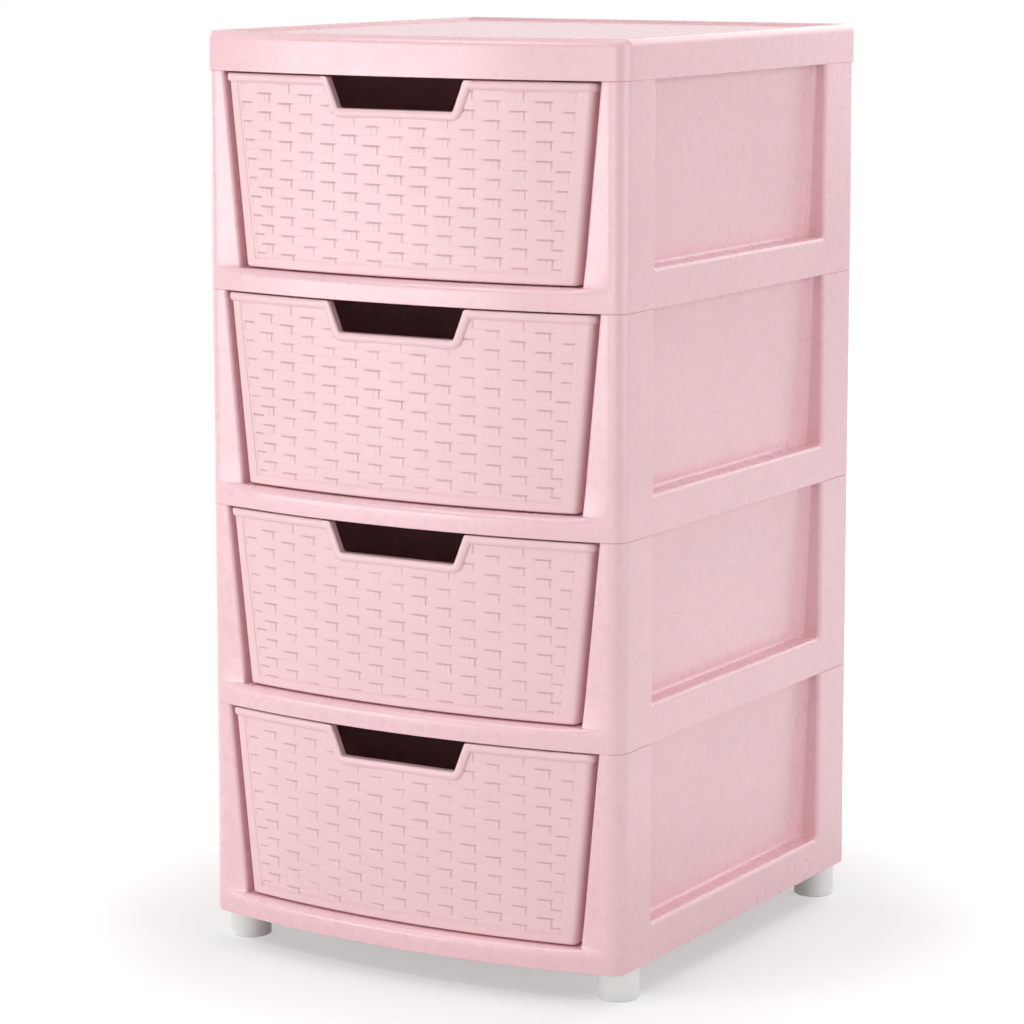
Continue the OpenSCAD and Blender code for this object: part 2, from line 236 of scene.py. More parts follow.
def corners(cx, cy, tilt, arc_r, front_r, bx, by, rear_r, front_n, corner_n):
    """A closed outline: front from left to right, then round by the right side and the back."""
    pts = []
    for i in range(front_n + 1):
        t = 2 * i / front_n - 1
        if arc_r:
            pts.append((arc_r * math.sin(tilt * t), BOW_Y - arc_r * math.cos(tilt * t)))
        else:
            pts.append((cx * t, cy - front_r))

    def arc(x, y, r, start, end, first, last):
        for i in range(first, last + 1):
            a = start + (end - start) * i / corner_n
            pts.append((x + r * math.cos(a), y + r * math.sin(a)))

    q = math.pi / 2
    arc(cx, cy, front_r, tilt - q, 0.0, 1, corner_n)
    arc(bx, by, rear_r, 0.0, q, 0, corner_n)
    arc(-bx, by, rear_r, q, 2 * q, 0, corner_n)
    arc(-cx, cy, front_r, 2 * q, 3 * q - tilt, 0, corner_n - 1)
    return pts


def at(outline, z):
    return [(x, y, z) for x, y in outline]


# ---------------------------------------------------------------- cover

TRAY_EDGE_R = 1.5
COVER_FOOT_EDGE = [(0.0, 0.6), (0.25, 1.25), (0.9, COVER_OVER)]     # height over the seam, reach


def underside_ribs(under, z0):
    """Ribs and drawer stop below a deck whose underside is at under. The stop wall starts at z0."""
    low, high, half = under - RIB_H, under + OVER, HALF_W - OVER
    tools = []
    for i in range(-2, 3):
        x = i * RIB_PITCH
        tools.append(block(x - RIB_T / 2, x + RIB_T / 2, Y_STOP + OVER, Y_BACK - OVER, low, high))
    for side in (-1, 1):
        y = side * CROSS_PITCH / 2
        tools.append(block(-half, half, y, y + RIB_T, low, high))
    tools.append(block(-half, half, Y_STOP, Y_STOP + WALL, z0, high))
    return tools


def build_cover():
    top, edge, soft = TOP_Z + COVER_H, COVER_EDGE_R, TRAY_EDGE_R
    rings = [(TOP_Z + dz, grow) for dz, grow in COVER_FOOT_EDGE]
    rings.append((top - edge, COVER_OVER))
    rings += [(top - edge + edge * s, COVER_OVER - edge * c) for c, s in quarter(10)]
    inner = COVER_OVER - TRAY_RIM + soft
    rings.append((top, inner + soft))
    rings += [(top - soft * c, inner + soft - soft * s) for c, s in quarter(4)]
    rings += [(top - TRAY_D + soft - soft * s, inner - soft * c) for c, s in quarter(4)]
    cover = loft("cover_shell", [at(plan(True, g, corner_n=12), z) for z, g in rings])
    under = COVER_H - TRAY_D - COVER_T
    cut(cover, prism_z(plan(True, -WALL), TOP_Z - OVER, TOP_Z + under))
    add(cover, *underside_ribs(TOP_Z + under, TOP_Z))
    return smooth(cover)


# ---------------------------------------------------------------- tiers

# The rounded edge that a cutter leaves: its steps, and how it leaves the surface at its end, which is at a
# share of its radius, a little further out and ahead.
FLARE = [math.radians(a) for a in (0, 15, 30, 45, 60, 72, 82)]
FLARE_SHARE, FLARE_OUT, FLARE_AHEAD = 0.93, 0.9, 0.6
CUTTER_OUT, CUTTER_AHEAD = 3.0, 4.0
RECESS_R = 0.4      # least radius of a recess's corners
OPENING_EDGE_R = 3.0

# How a rail's front runs into the posts: the height of the hollow fillet over its nose, the most of the
# rail's lead that the nose takes up, where along x the nose starts to give way and over what length, and how
# far the slope reaches below and above the rail's top.
FILLET_H, NOSE_SHARE = 6.5, 0.7
NOSE_END, NOSE_FADE = 160.0, 24.0
SLOPE_LOW, SLOPE_HIGH = 9.0, 26.0
ABOVE_RAIL = [RAIL_H + FILLET_H * c for c, _ in quarter(6)]
ABOVE_RAIL += [RAIL_H + dz for dz in (9, 12, 15, 18, 21, 24, 26)]

FRAME_FOOT_EDGE = [(0, 0.8), (0.25, 0.25), (0.8, 0.0)]      # height over a frame's foot, inset
FRAME_HEAD_EDGE = [(0.7, 0.0), (0.2, 0.2), (0, 0.7)]        # depth below its head, inset
STOP_CLEAR = 0.3                                            # of the stop wall over the seam
KEY_SINK = 0.5


def post_blend(delta, z, x):
    """How much of the rail's lead over the post, delta, is left at height z.

    It is a nose and a hollow fillet above it, which turn into one long soft slope over the posts.
    """
    nose_z, inset = RAIL_H - NOSE_R, min(NOSE_R, NOSE_SHARE * delta)
    if z <= nose_z:
        nose = delta
    elif z <= RAIL_H:
        u = (z - nose_z) / NOSE_R
        nose = delta - inset * (1 - math.sqrt(max(0.0, 1 - u * u)))
    else:
        u = min(1.0, (z - RAIL_H) / FILLET_H)
        nose = (delta - inset) * (1 - math.sqrt(1 - (1 - u) ** 2))
    slope = delta * (1 - ease((z - RAIL_H + SLOPE_LOW) / (SLOPE_LOW + SLOPE_HIGH)))
    return nose + (slope - nose) * ease((abs(x) - NOSE_END) / NOSE_FADE)


def foot_heights():
    """Heights at which a frame's front changes, from the foot of the slope up."""
    return [RAIL_H - SLOPE_LOW] + [RAIL_H - NOSE_R + NOSE_R * s for _, s in quarter(8)] + ABOVE_RAIL


def frame_ring(z, inset):
    """A frame's outline at height z, between that of its rail and that of its posts."""
    rail, post = plan(True, -inset), plan(False, -inset)
    ring = []
    for (rx, ry), (px, py) in zip(rail, post):
        delta = math.hypot(rx - px, ry - py)
        s = post_blend(delta, z, px) / delta if delta > 1e-6 else 0.0
        ring.append((px + (rx - px) * s, py + (ry - py) * s, z))
    return ring


def front_line(x, z):
    """Where the blended front of a post or rail lies at x and height z."""
    rail = BOW_Y - math.sqrt(BOW_R ** 2 - x * x)
    return Y_POST - post_blend(Y_POST - rail, z, x)


def opening_half(h, z):
    return OPEN_FOOT + (OPEN_TOP - OPEN_FOOT) * (z - RAIL_H) / (h + OVER - RAIL_H)


def opening_cutter(h):
    """The drawer's opening, whose upright edges flare forwards so that they cut a rounded edge."""
    r = OPENING_EDGE_R
    rings = []
    for z in [RAIL_H] + ABOVE_RAIL + [h / 2, h + OVER]:
        half = opening_half(h, z)
        front = front_line(half + r, z)
        side = [(half, Y_POST + RETURN_D + OVER)]
        side += [(half + r * (1 - math.cos(a)), front + r * (1 - math.sin(a))) for a in FLARE]
        side.append((half + r * FLARE_SHARE + FLARE_OUT, front - FLARE_AHEAD))
        side += [(half + r + 2 * OVER, front - 3 * OVER), (half + r + 2 * OVER, Y_BOW - 12 * OVER)]
        rings.append([(x, y, z) for x, y in side] + [(-x, y, z) for x, y in reversed(side)])
    return loft("tool", rings)


def recess_outline(left, right, low, top, r, n=6):
    """Down at left, round two corners of radius r and up at right, open at the top."""
    pts = [(left, top)]
    for i in range(n + 1):
        a = math.pi + math.pi / 2 * i / n
        pts.append((left + r + r * math.cos(a), low + r + r * math.sin(a)))
    for i in range(n + 1):
        a = 1.5 * math.pi + math.pi / 2 * i / n
        pts.append((right - r + r * math.cos(a), low + r + r * math.sin(a)))
    return pts + [(right, top)]


def recess_cutter(side, h, mouth=4.0, fillet=3.0, turn=3.0):
    """The recess in a side wall, with a soft mouth and soft inner corners.

    Its rings run from outside inwards.
    """
    y1, y2 = Y_POST + FRONT_POST_D, Y_BACK - BACK_POST_D

    def depth(z):
        return SIDE_FOOT + (SIDE_TOP - SIDE_FOOT) * (z - LEDGE_H) / (h - LEDGE_H)

    def ring(grow, at_depth):
        """grow moves the three edges out; at_depth(full depth there) gives the depth of a point."""
        r = max(turn + grow, RECESS_R)
        pts = recess_outline(y1 - grow, y2 + grow, LEDGE_H - grow, h + 2 * OVER, r)
        return [(side * (HALF_W - at_depth(depth(z))), y, z) for y, z in pts]

    rings = [ring(mouth * FLARE_SHARE + CUTTER_OUT, lambda d: -CUTTER_AHEAD),
             ring(mouth * FLARE_SHARE + FLARE_OUT, lambda d: -FLARE_AHEAD)]
    for a in reversed(FLARE):
        rings.append(ring(mouth * (1 - math.cos(a)), lambda d, a=a: mouth * (1 - math.sin(a))))
    for c, s in [(0, 0)] + quarter(5):
        rings.append(ring(-fillet * c, lambda d, s=s: d - fillet + fillet * s))
    return loft("tool", rings)


def back_cutter(h, mouth=3.0, fillet=2.5, turn=3.0):
    """The recess in the back wall, made as those in the sides are."""
    half = HALF_W - BACK_POST_W

    def ring(grow, d):
        r = max(turn + grow, RECESS_R)
        pts = recess_outline(-half - grow, half + grow, LEDGE_H - grow, h + 2 * OVER, r)
        return [(x, Y_BACK - d, z) for x, z in pts]

    rings = [ring(mouth * FLARE_SHARE + CUTTER_OUT, -CUTTER_AHEAD),
             ring(mouth * FLARE_SHARE + FLARE_OUT, -FLARE_AHEAD)]
    rings += [ring(mouth * (1 - math.cos(a)), mouth * (1 - math.sin(a))) for a in reversed(FLARE)]
    rings += [ring(-fillet * c, BACK_RECESS - fillet + fillet * s) for c, s in [(0, 0)] + quarter(5)]
    return loft("tool", rings)


def taper(low_half, low_z, high_half, high_z):
    return [(-low_half, low_z), (low_half, low_z), (high_half, high_z), (-high_half, high_z)]


def build_bay(h):
    """The open bay above the deck."""
    top, ledge = h + 2 * OVER, LEDGE_H - WALL
    bay = prism_z(plan(False, -WALL), RAIL_H, h + OVER)
    low_x, high_x = HALF_W - SIDE_FOOT - WALL, HALF_W - SIDE_TOP - WALL
    y1, y2 = Y_POST + FRONT_POST_D - WALL, Y_BACK - BACK_POST_D + WALL
    for side in (-1, 1):
        profile = [(side * low_x, ledge), (side * (HALF_W + OVER), ledge),
                   (side * (HALF_W + OVER), top), (side * high_x, top)]
        cut(bay, prism_y(profile, y1, y2))
    half = HALF_W - BACK_POST_W + WALL
    cut(bay, block(-half, half, Y_BACK - BACK_RECESS - WALL, Y_BACK + OVER, ledge, top))
    front = taper(OPEN_FOOT + WALL, RAIL_H - OVER, OPEN_TOP + WALL, top)
    cut(bay, prism_y(front, Y_POST - 2 * OVER, Y_POST + RETURN_D))
    return bay


def keys(h):
    """The stacking keys along a frame's upper edges: each has a root in the wall and a tongue above it."""
    boxes = []
    key_x = HALF_W - WALL
    root = KEY_GAP + KEY_T
    low, tongue, high = h - KEY_ROOT, h - KEY_SINK, h + KEY_H
    for s in (-1, 1):
        for y in (Y_STOP + WALL + KEY_GAP, Y_BACK - BACK_POST_D + WALL + OVER):
            boxes.append((key_x - root, key_x + OVER, y, y + KEY_L, low, h, s))
            boxes.append((key_x - root, key_x - root + KEY_T, y, y + KEY_L, tongue, high, s))
        x = HALF_W - BACK_POST_W + WALL + OVER
        y = Y_BACK - WALL
        boxes.append((x, x + KEY_L, y - root, y + OVER, low, h, s))
        boxes.append((x, x + KEY_L, y - root, y - root + KEY_T, tongue, high, s))
    return [block(min(s * x1, s * x2), max(s * x1, s * x2), y1, y2, z1, z2)
            for x1, x2, y1, y2, z1, z2, s in boxes]


def build_frame(name, h):
    rings = list(FRAME_FOOT_EDGE)
    rings += [(z, 0.0) for z in foot_heights()]
    rings += [(h - dz, inset) for dz, inset in FRAME_HEAD_EDGE]
    shell = loft(name, [frame_ring(z, inset) for z, inset in rings])
    cut(shell, opening_cutter(h), recess_cutter(-1, h), recess_cutter(1, h), back_cutter(h), build_bay(h))
    cut(shell, prism_z(plan(True, -WALL), -OVER, RAIL_H - NOSE_R),
        prism_z(plan(False, -WALL), OVER, DECK_UNDER))
    add(shell, *underside_ribs(DECK_UNDER, STOP_CLEAR))
    guide_x = FACE_FOOT + GUIDE_GAP
    y1 = Y_POST + RETURN_D
    for s in (-1, 1):
        x1, x2 = sorted((s * guide_x, s * (guide_x + RIB_T)))
        add(shell, block(x1, x2, y1, Y_TUB, RAIL_H - OVER, RAIL_H + GUIDE_H))
    add(shell, *keys(h))
    for x in (-FOOT_X, FOOT_X):
        for y in (FOOT_FRONT_Y, FOOT_BACK_Y):
            add(shell, prism_z(disc(x, y, BORE_R + SOCKET_T), 0, DECK_UNDER + OVER))
            cut(shell, prism_z(disc(x, y, BORE_R), -OVER, DECK_UNDER))
    return smooth(shell)


# ---------------------------------------------------------------- drawers

TUB_FRONT_N, TUB_CORNER_N = 60, 8       # steps along a drawer's front and round each corner
TUB_FOOT_R = 2.0
HOLE_SLOPE = (HOLE_TOP - HOLE_FOOT) / (HOLE_D + OVER)       # how far its sides go out for each millimetre up
HOLE_OPEN = 0.8                                             # how much wider it is cut, within the bead
BEAD_SINK, BEAD_END = 2.2, 0.15                             # its root in the face, its ends below the head
BEAD_EDGE = [(0.35, 0.95), (1.2, 1.6), (2.4, 1.95)]         # distance from its edge, height over the face
BEAD_CROWN = 2.05
RIM_FOOT_EDGE = [(0.0, 0.0), (0.05, 0.3), (0.4, 0.95), (1.2, 1.6), (2.4, 1.95)]     # height over it, reach
RIM_HEAD_EDGE = [(2.4, 1.9), (1.2, 1.5), (0.4, 0.8), (0.0, 0.0)]                    # depth below it, reach
INNER_HEAD_EDGE = [(0.0, 0.7), (0.25, 0.2), (0.8, 0.0)]     # depth below the head, reach over the inside
INNER_FOOT_EDGE = [(2.0, 0.0), (0.6, -0.6), (0.0, -2.0)]    # height over the floor, reach over the inside
THROUGH = Y_BOW - 20, Y_POST + 60       # from ahead of a drawer's front to behind it
FIELD_THROUGH = Y_BOW - 40, Y_POST + 60     # from ahead of the weave's cutter to behind the front


def lean(h, z):
    return (z - TUB_FOOT) / (h - TOP_GAP - TUB_FOOT)


def face_radius(h, z):
    return BOW_R - FACE_BACK_FOOT + (FACE_BACK_FOOT - FACE_BACK_TOP) * lean(h, z)


def on_face(h, x, z, out):
    """A point at x and z, out millimetres ahead of the face's cone."""
    return (x, BOW_Y - math.sqrt((face_radius(h, z) + out) ** 2 - x * x), z)


def tub_ring(h, z, side_out, front_out, back_out, front_r=6.0, rear_r=9.0):
    """A drawer's outline at height z, with its sides, front and back moved out."""
    half = FACE_FOOT + (FACE_TOP - FACE_FOOT) * lean(h, z) + side_out
    front_r, rear_r = max(front_r + side_out, 1.0), max(rear_r + side_out, 1.0)
    arc_r = face_radius(h, z) + front_out
    cx = half - front_r
    run = math.sqrt((arc_r - front_r) ** 2 - cx * cx)
    back = Y_TUB - BACK_LEAN * (1 - lean(h, z)) + back_out
    return at(corners(cx, BOW_Y - run, math.atan2(cx, run), arc_r, front_r,
                      half - rear_r, back - rear_r, rear_r, TUB_FRONT_N, TUB_CORNER_N), z)


def hole_outline(h, grow, top, r=3.0, n=8):
    """The hand hole's outline from its top left, down, across and up, moved out by grow."""
    head = h - TOP_GAP
    low = head - HOLE_D - grow
    slope = HOLE_SLOPE
    side = grow * math.hypot(1, slope) - grow * slope
    foot = HOLE_FOOT + side
    r = r + grow
    turn = math.atan2(1, slope)
    tangent = r * math.tan(turn / 2)
    cx, cz = foot - tangent, low + r
    right = []
    for i in range(n + 1):
        a = -math.pi / 2 + turn * i / n
        right.append((cx + r * math.cos(a), cz + r * math.sin(a)))
    right.append((foot + slope * (top - low), top))
    return [(-x, z) for x, z in reversed(right)] + right


def build_bead(h):
    """The raised bead round the hand hole, with the finger lip behind it.

    Its profile runs from the bead's outer edge over it, through the hole and round the lip. Each entry is
    the distance from the hole's edge and the height over the face.
    """
    top = h - TOP_GAP - BEAD_END
    back = -(FRONT_T + LIP_D)
    profile = [(BEAD_W, -BEAD_SINK), (BEAD_W, 0.2)]
    profile += [(BEAD_W - edge, out) for edge, out in BEAD_EDGE]
    profile.append((BEAD_W / 2, BEAD_CROWN))
    profile += reversed(BEAD_EDGE)
    profile += [(0, 0.1), (0, back + 0.8), (0.8, back), (LIP_T, back), (LIP_T, -BEAD_SINK)]
    outlines = [hole_outline(h, g, top) for g, d in profile]
    rings = [[on_face(h, outline[j][0], outline[j][1], d) for outline, (g, d) in zip(outlines, profile)]
             for j in range(len(outlines[0]))]
    return loft("tool", rings)


# The woven look: strands lie in rows. Each dips at every second column, behind an upright stake: the dip is
# deep under the foot of the strand above and comes out to full height at its own foot, and a slit ends it on
# the right. Depths are below the field, and v runs from -1 at a strand's foot to 1 at its head.
COLUMN, COLUMN_SHIFT, COLUMNS, ROW = 22.19, 5.5, 7, 7.8
SLIT, STAKE, STAKE_LINE, DIP = 0.75, 4.9, 0.45, 14.5
DIP_FADE, RISE, GROOVE_RISE, GROOVE_OFF = 4.0, 0.5, 4.6, 0.5
DIP_HEAD, DIP_MID, DIP_FOOT = 0.85, 0.3, 0.06
GROOVE_FROM, GROOVE_SPAN = 0.5, 0.32
SLIT_D, SLIT_LEAN, STAKE_D, CROWN = 0.52, 0.1, 0.14, 0.04
STRAND_FOOT, STRAND_EDGE = 0.08, 0.55
TOP_ROW = 0.4                   # share of their depth that the dips of the highest row have
LOOSE_REACH, LOOSE_DIP, LOOSE_SLIT = 3.0, 0.3, 0.4              # how much the strands differ
EDGE_IN, EDGE_DIP, EDGE_SLIT, EDGE_STEP = 3.0, 12.0, 1.0, 0.65  # the field's left and right ends
FIELD_LINE, FIELD_LINE_D, FIELD_LINE_FADE = 0.9, 0.3, 0.3       # the line along the field's foot
FIELD_HEAD = 0.2                # how far the field ends below the rim
WEAVE_BACK = 0.35               # how far the field lies behind the face
WEAVE_AIR = 6.0                 # how far its cutter reaches ahead of the face
ROW_SHARE = 0.985               # of a row that its strand fills
# The grid of the relief: v of its level lines in each row, and x of its upright lines from each slit
LEVELS = (1.0, 0.82, 0.74, 0.66, 0.58, 0.5, 0.2, -0.2, -0.55, -0.8, -1.0)
STEPS = (-16.5, -15, -13.5, -12, -10.5, -9, -7, -5.37, -5.33, -4.47, -4.43, -2.6, -0.85, -0.74,
         0.74, 0.85, 1.2, 1.9, 2.6, 3.4, 4.4, 6.0)
HOLLOW_SHADE_FROM, HOLLOW_SHADE_SPAN = 0.2, 0.7     # depth from which the hollows get painted shade, and over which it sets in
SHADE_SLACK = 0.5                # how far past the field's edges a point may lie to get the painted shade


def scatter(column, row):
    """A number from -0.5 to 0.5 that looks random and depends only on the column and the row."""
    value = math.sin(column * 12.9898 + row * 78.233) * 43758.5453
    return value - math.floor(value) - 0.5


def field_half(h, z):
    low, head = TUB_FOOT + BORDER_FOOT, h - TOP_GAP - RIM_H
    return FACE_FOOT + (FACE_TOP - FACE_FOOT) * (z - low) / (head - low) - BORDER_SIDE


def groove(v):
    """Depth of the groove under the foot of the strand above."""
    return (DIP_HEAD - DIP_MID) * ease((v - GROOVE_FROM) / GROOVE_SPAN)


def dip(v):
    """Depth of a dip apart from its groove."""
    return DIP_FOOT + (DIP_MID - DIP_FOOT) * (v + 1) / 2


def relief(x, row, v, half):
    """Depth of the weave at x, in a row, at v. half is the half width of the field there."""
    depth = STRAND_FOOT * max(0.0, -v - STRAND_EDGE) / (1 - STRAND_EDGE) + CROWN * abs(v) ** 4
    top = TOP_ROW if row == 0 else 1
    base = math.floor((x - COLUMN_SHIFT) / COLUMN)
    for m in (base, base + 1):
        if (m + COLUMNS + row) % 2 or abs(m) >= COLUMNS:
            continue
        tick = m * COLUMN + COLUMN_SHIFT
        off, loose = x - tick, scatter(m, row)
        if off <= 0:
            reach = groove_reach = ease((off + DIP + LOOSE_REACH * loose) / DIP_FADE)
        else:
            reach = 1 - ease((off - SLIT) / RISE)
            groove_reach = 1 - ease((off - GROOVE_OFF) / GROOVE_RISE)
        low = dip(v) + (STAKE_D if abs(off + STAKE) < STAKE_LINE else 0)
        depth = max(depth, (low * reach + groove(v) * groove_reach) * (1 + LOOSE_DIP * loose) * top)
        if abs(off) <= SLIT:
            depth = max(depth, SLIT_D * (1 + LOOSE_SLIT * loose) + SLIT_LEAN * v)
    for side in (-1, 1):
        if (side * COLUMNS + COLUMNS + row) % 2:
            continue
        off = half - EDGE_IN - side * x
        loose = scatter(side * COLUMNS, row)
        if off >= 0:
            reach = 1 - ease((off - EDGE_DIP + DIP_FADE - LOOSE_REACH * loose) / DIP_FADE)
            depth = max(depth, (dip(v) + groove(v)) * (1 + LOOSE_DIP * loose) * reach * top)
        depth = max(depth, SLIT_D * (1 - ease(abs(off) / EDGE_SLIT)))
    return depth


def weave_columns(h):
    """Where the grid of the relief has its upright lines."""
    edge = field_half(h, h) + OVER
    dense = field_half(h, TUB_FOOT) - EDGE_IN - EDGE_DIP
    ticks = [m * COLUMN + COLUMN_SHIFT for m in range(1 - COLUMNS, COLUMNS)]
    xs = {round(tick + step, 3) for tick in ticks for step in STEPS}
    count = math.ceil((edge - dense) / EDGE_STEP)
    xs |= {round(side * (dense + EDGE_STEP * i), 3) for i in range(count) for side in (-1, 1)}
    return sorted(x for x in xs if abs(x) <= edge)


def build_weave_cutter(h):
    """What is cut from a drawer's face to leave its woven field: the relief below, open air above."""
    head, low = h - TOP_GAP - RIM_H - FIELD_HEAD, TUB_FOOT + BORDER_FOOT
    xs = weave_columns(h)
    rows = []
    for row in range(int((head - low) / ROW) + 2):
        for v in LEVELS:
            z = head - ROW * row - ROW * (1 - v) / 2 * ROW_SHARE
            if z > low - 2 * OVER:
                rows.append((z, row, v))
    points, faces = [], []
    for z, row, v in rows:
        half = field_half(h, z)
        line = FIELD_LINE_D * (1 - ease((z - low - FIELD_LINE) / FIELD_LINE_FADE))
        points += [on_face(h, x, z, -WEAVE_BACK - max(line, relief(x, row, v, half))) for x in xs]
    n = len(xs)
    base = len(points)
    points += [on_face(h, x, z, WEAVE_AIR) for z in (rows[0][0], rows[-1][0]) for x in xs]
    for k in range(len(rows) - 1):
        faces += [(k * n + j, k * n + j + 1, (k + 1) * n + j + 1, (k + 1) * n + j) for j in range(n - 1)]
    last = (len(rows) - 1) * n
    faces += [(base + j, base + j + 1, j + 1, j) for j in range(n - 1)]
    faces += [(last + j, last + j + 1, base + n + j + 1, base + n + j) for j in range(n - 1)]
    faces += [(base + j + 1, base + j, base + n + j, base + n + j + 1) for j in range(n - 1)]
    for j in (0, n - 1):
        faces.append(tuple(k * n + j for k in range(len(rows))) + (base + n + j, base + j))
    cutter = new_object("tool", points, faces)
    field = taper(FACE_FOOT - BORDER_SIDE, low, FACE_TOP - BORDER_SIDE, head)
    return keep(cutter, prism_y(field, *FIELD_THROUGH))


def hole_shoulders(h, r=4.5, n=8):
    """Cutters that round the two corners where the hand hole meets the drawer's upper edge."""
    head = h - TOP_GAP
    cz = head - r
    cx = HOLE_FOOT + HOLE_SLOPE * (cz - head + HOLE_D) + r * math.hypot(1, HOLE_SLOPE)
    start = math.pi - math.atan(HOLE_SLOPE)
    arc = [(cx + r * math.cos(a), cz + r * math.sin(a))
           for a in (start + (math.pi / 2 - start) * i / n for i in range(n + 1))]
    left, top = arc[0][0] - 3 * OVER, head + 3 * OVER
    profile = [(left, arc[0][1])] + arc + [(cx, top), (left, top)]
    return [prism_y([(side * x, z) for x, z in profile], *THROUGH) for side in (-1, 1)]


def paint_hollow_shade(obj, h):
    """Marks for the material how deep each point of the woven field lies, from 0 to 1: the share of painted
    shade that the point gets.
    """
    mesh = obj.data
    marks = mesh.attributes.new("hollow", "FLOAT", "POINT")
    low, head = TUB_FOOT + BORDER_FOOT, h - TOP_GAP - RIM_H
    values = []
    for vert in mesh.vertices:
        x, y, z = (c / MM for c in vert.co)
        depth = face_radius(h, z) - math.hypot(x, BOW_Y - y)
        inside = low - SHADE_SLACK < z < head and abs(x) < field_half(h, z) + SHADE_SLACK
        inside = inside and depth < FRONT_T / 2
        values.append(ease((depth - WEAVE_BACK - HOLLOW_SHADE_FROM) / HOLLOW_SHADE_SPAN) if inside else 0.0)
    marks.data.foreach_set("value", values)


def build_drawer(name, h):
    head = h - TOP_GAP
    rim_z = head - RIM_H
    outer = [(TUB_FOOT, -TUB_FOOT_R)]
    outer += [(TUB_FOOT + TUB_FOOT_R * c, -TUB_FOOT_R * (1 - s)) for c, s in quarter(5)]
    outer += [(rim_z + dz, out) for dz, out in RIM_FOOT_EDGE]
    outer.append((head - RIM_H / 2, RIM_OUT))
    outer += [(head - dz, out) for dz, out in RIM_HEAD_EDGE]
    rings = [tub_ring(h, z, out, out, out) for z, out in outer]
    inner = [(head - dz, soft) for dz, soft in INNER_HEAD_EDGE]
    inner += [(TUB_FOOT + FLOOR_T + dz, soft) for dz, soft in INNER_FOOT_EDGE]
    rings += [tub_ring(h, z, soft - TUB_T, soft - FRONT_T, soft - TUB_T) for z, soft in inner]
    tub = loft(name, rings)
    cut(tub, build_weave_cutter(h))
    cut(tub, prism_y(hole_outline(h, HOLE_OPEN, head + 3 * OVER), *THROUGH))
    add(tub, build_bead(h))
    cut(tub, *hole_shoulders(h))
    nib_y = Y_STOP + WALL + STOP_GAP + TRAVEL
    nib_foot = head - NIB_ROOT
    nib_x = FOOT_X - BORE_R - SOCKET_T - NIB_GAP
    wall_x = FACE_FOOT + (FACE_TOP - FACE_FOOT) * lean(h, nib_foot) - TUB_T / 2
    for s in (-1, 1):
        for x1, x2, z1, z2 in ((nib_x - NIB_W, wall_x, nib_foot, head),
                               (nib_x - NIB_W, nib_x, nib_foot, head + TOP_GAP + NIB_H)):
            a, b = sorted((s * x1, s * x2))
            add(tub, block(a, b, nib_y, nib_y + NIB_L, z1, z2))
    smooth(tub, angle=32.0)
    paint_hollow_shade(tub, h)
    return tub


# ---------------------------------------------------------------- feet

SOLE_R, MOUTH_CHAMFER, CHAMFER = 1.5, 0.8, 1.0
FOOT_N = 64


def build_foot(name, x, y):
    """A hollow foot with its peg.

    Its rings run from the hollow's roof down, round the foot and up the peg.
    """
    r, inner, peg_r = FOOT_D / 2, FOOT_D / 2 - FOOT_T, PEG_D / 2
    roof, top = FOOT_H - FOOT_T, FOOT_H + PEG_H
    rings = [(inner - CHAMFER, roof), (inner, roof - CHAMFER), (inner, MOUTH_CHAMFER)]
    rings += [(inner + MOUTH_CHAMFER, 0.0), (r - SOLE_R, 0.0)]
    rings += [(r - SOLE_R + SOLE_R * s, SOLE_R * c) for c, s in quarter(5)]
    rings += [(r, FOOT_H), (peg_r, FOOT_H), (peg_r, top - CHAMFER), (peg_r - CHAMFER, top)]
    return smooth(loft(name, [at(disc(x, y, radius, FOOT_N), z) for radius, z in rings]), angle=40.0)


# ---------------------------------------------------------------- materials

# scales of the noises, per metre, and the part of a noise's range that is used
CLOUD_SCALE, ROUGH_SCALE, GRAIN_SCALE, STRIATION_SCALE = 9.0, 60.0, 1400.0, (60.0, 60.0, 1500.0)
NOISE_LOW, NOISE_HIGH = 0.3, 0.7
CLOUD_DARK, CLOUD_LIGHT, ROUGH_LESS, ROUGH_MORE = 0.975, 1.015, 0.03, 0.04
GRAIN_H, SMOOTH_GRAIN_H, GRAIN_STRENGTH = 0.00035, 0.00012, 0.25
REFRACTION, SPECULAR = 1.49, 0.65


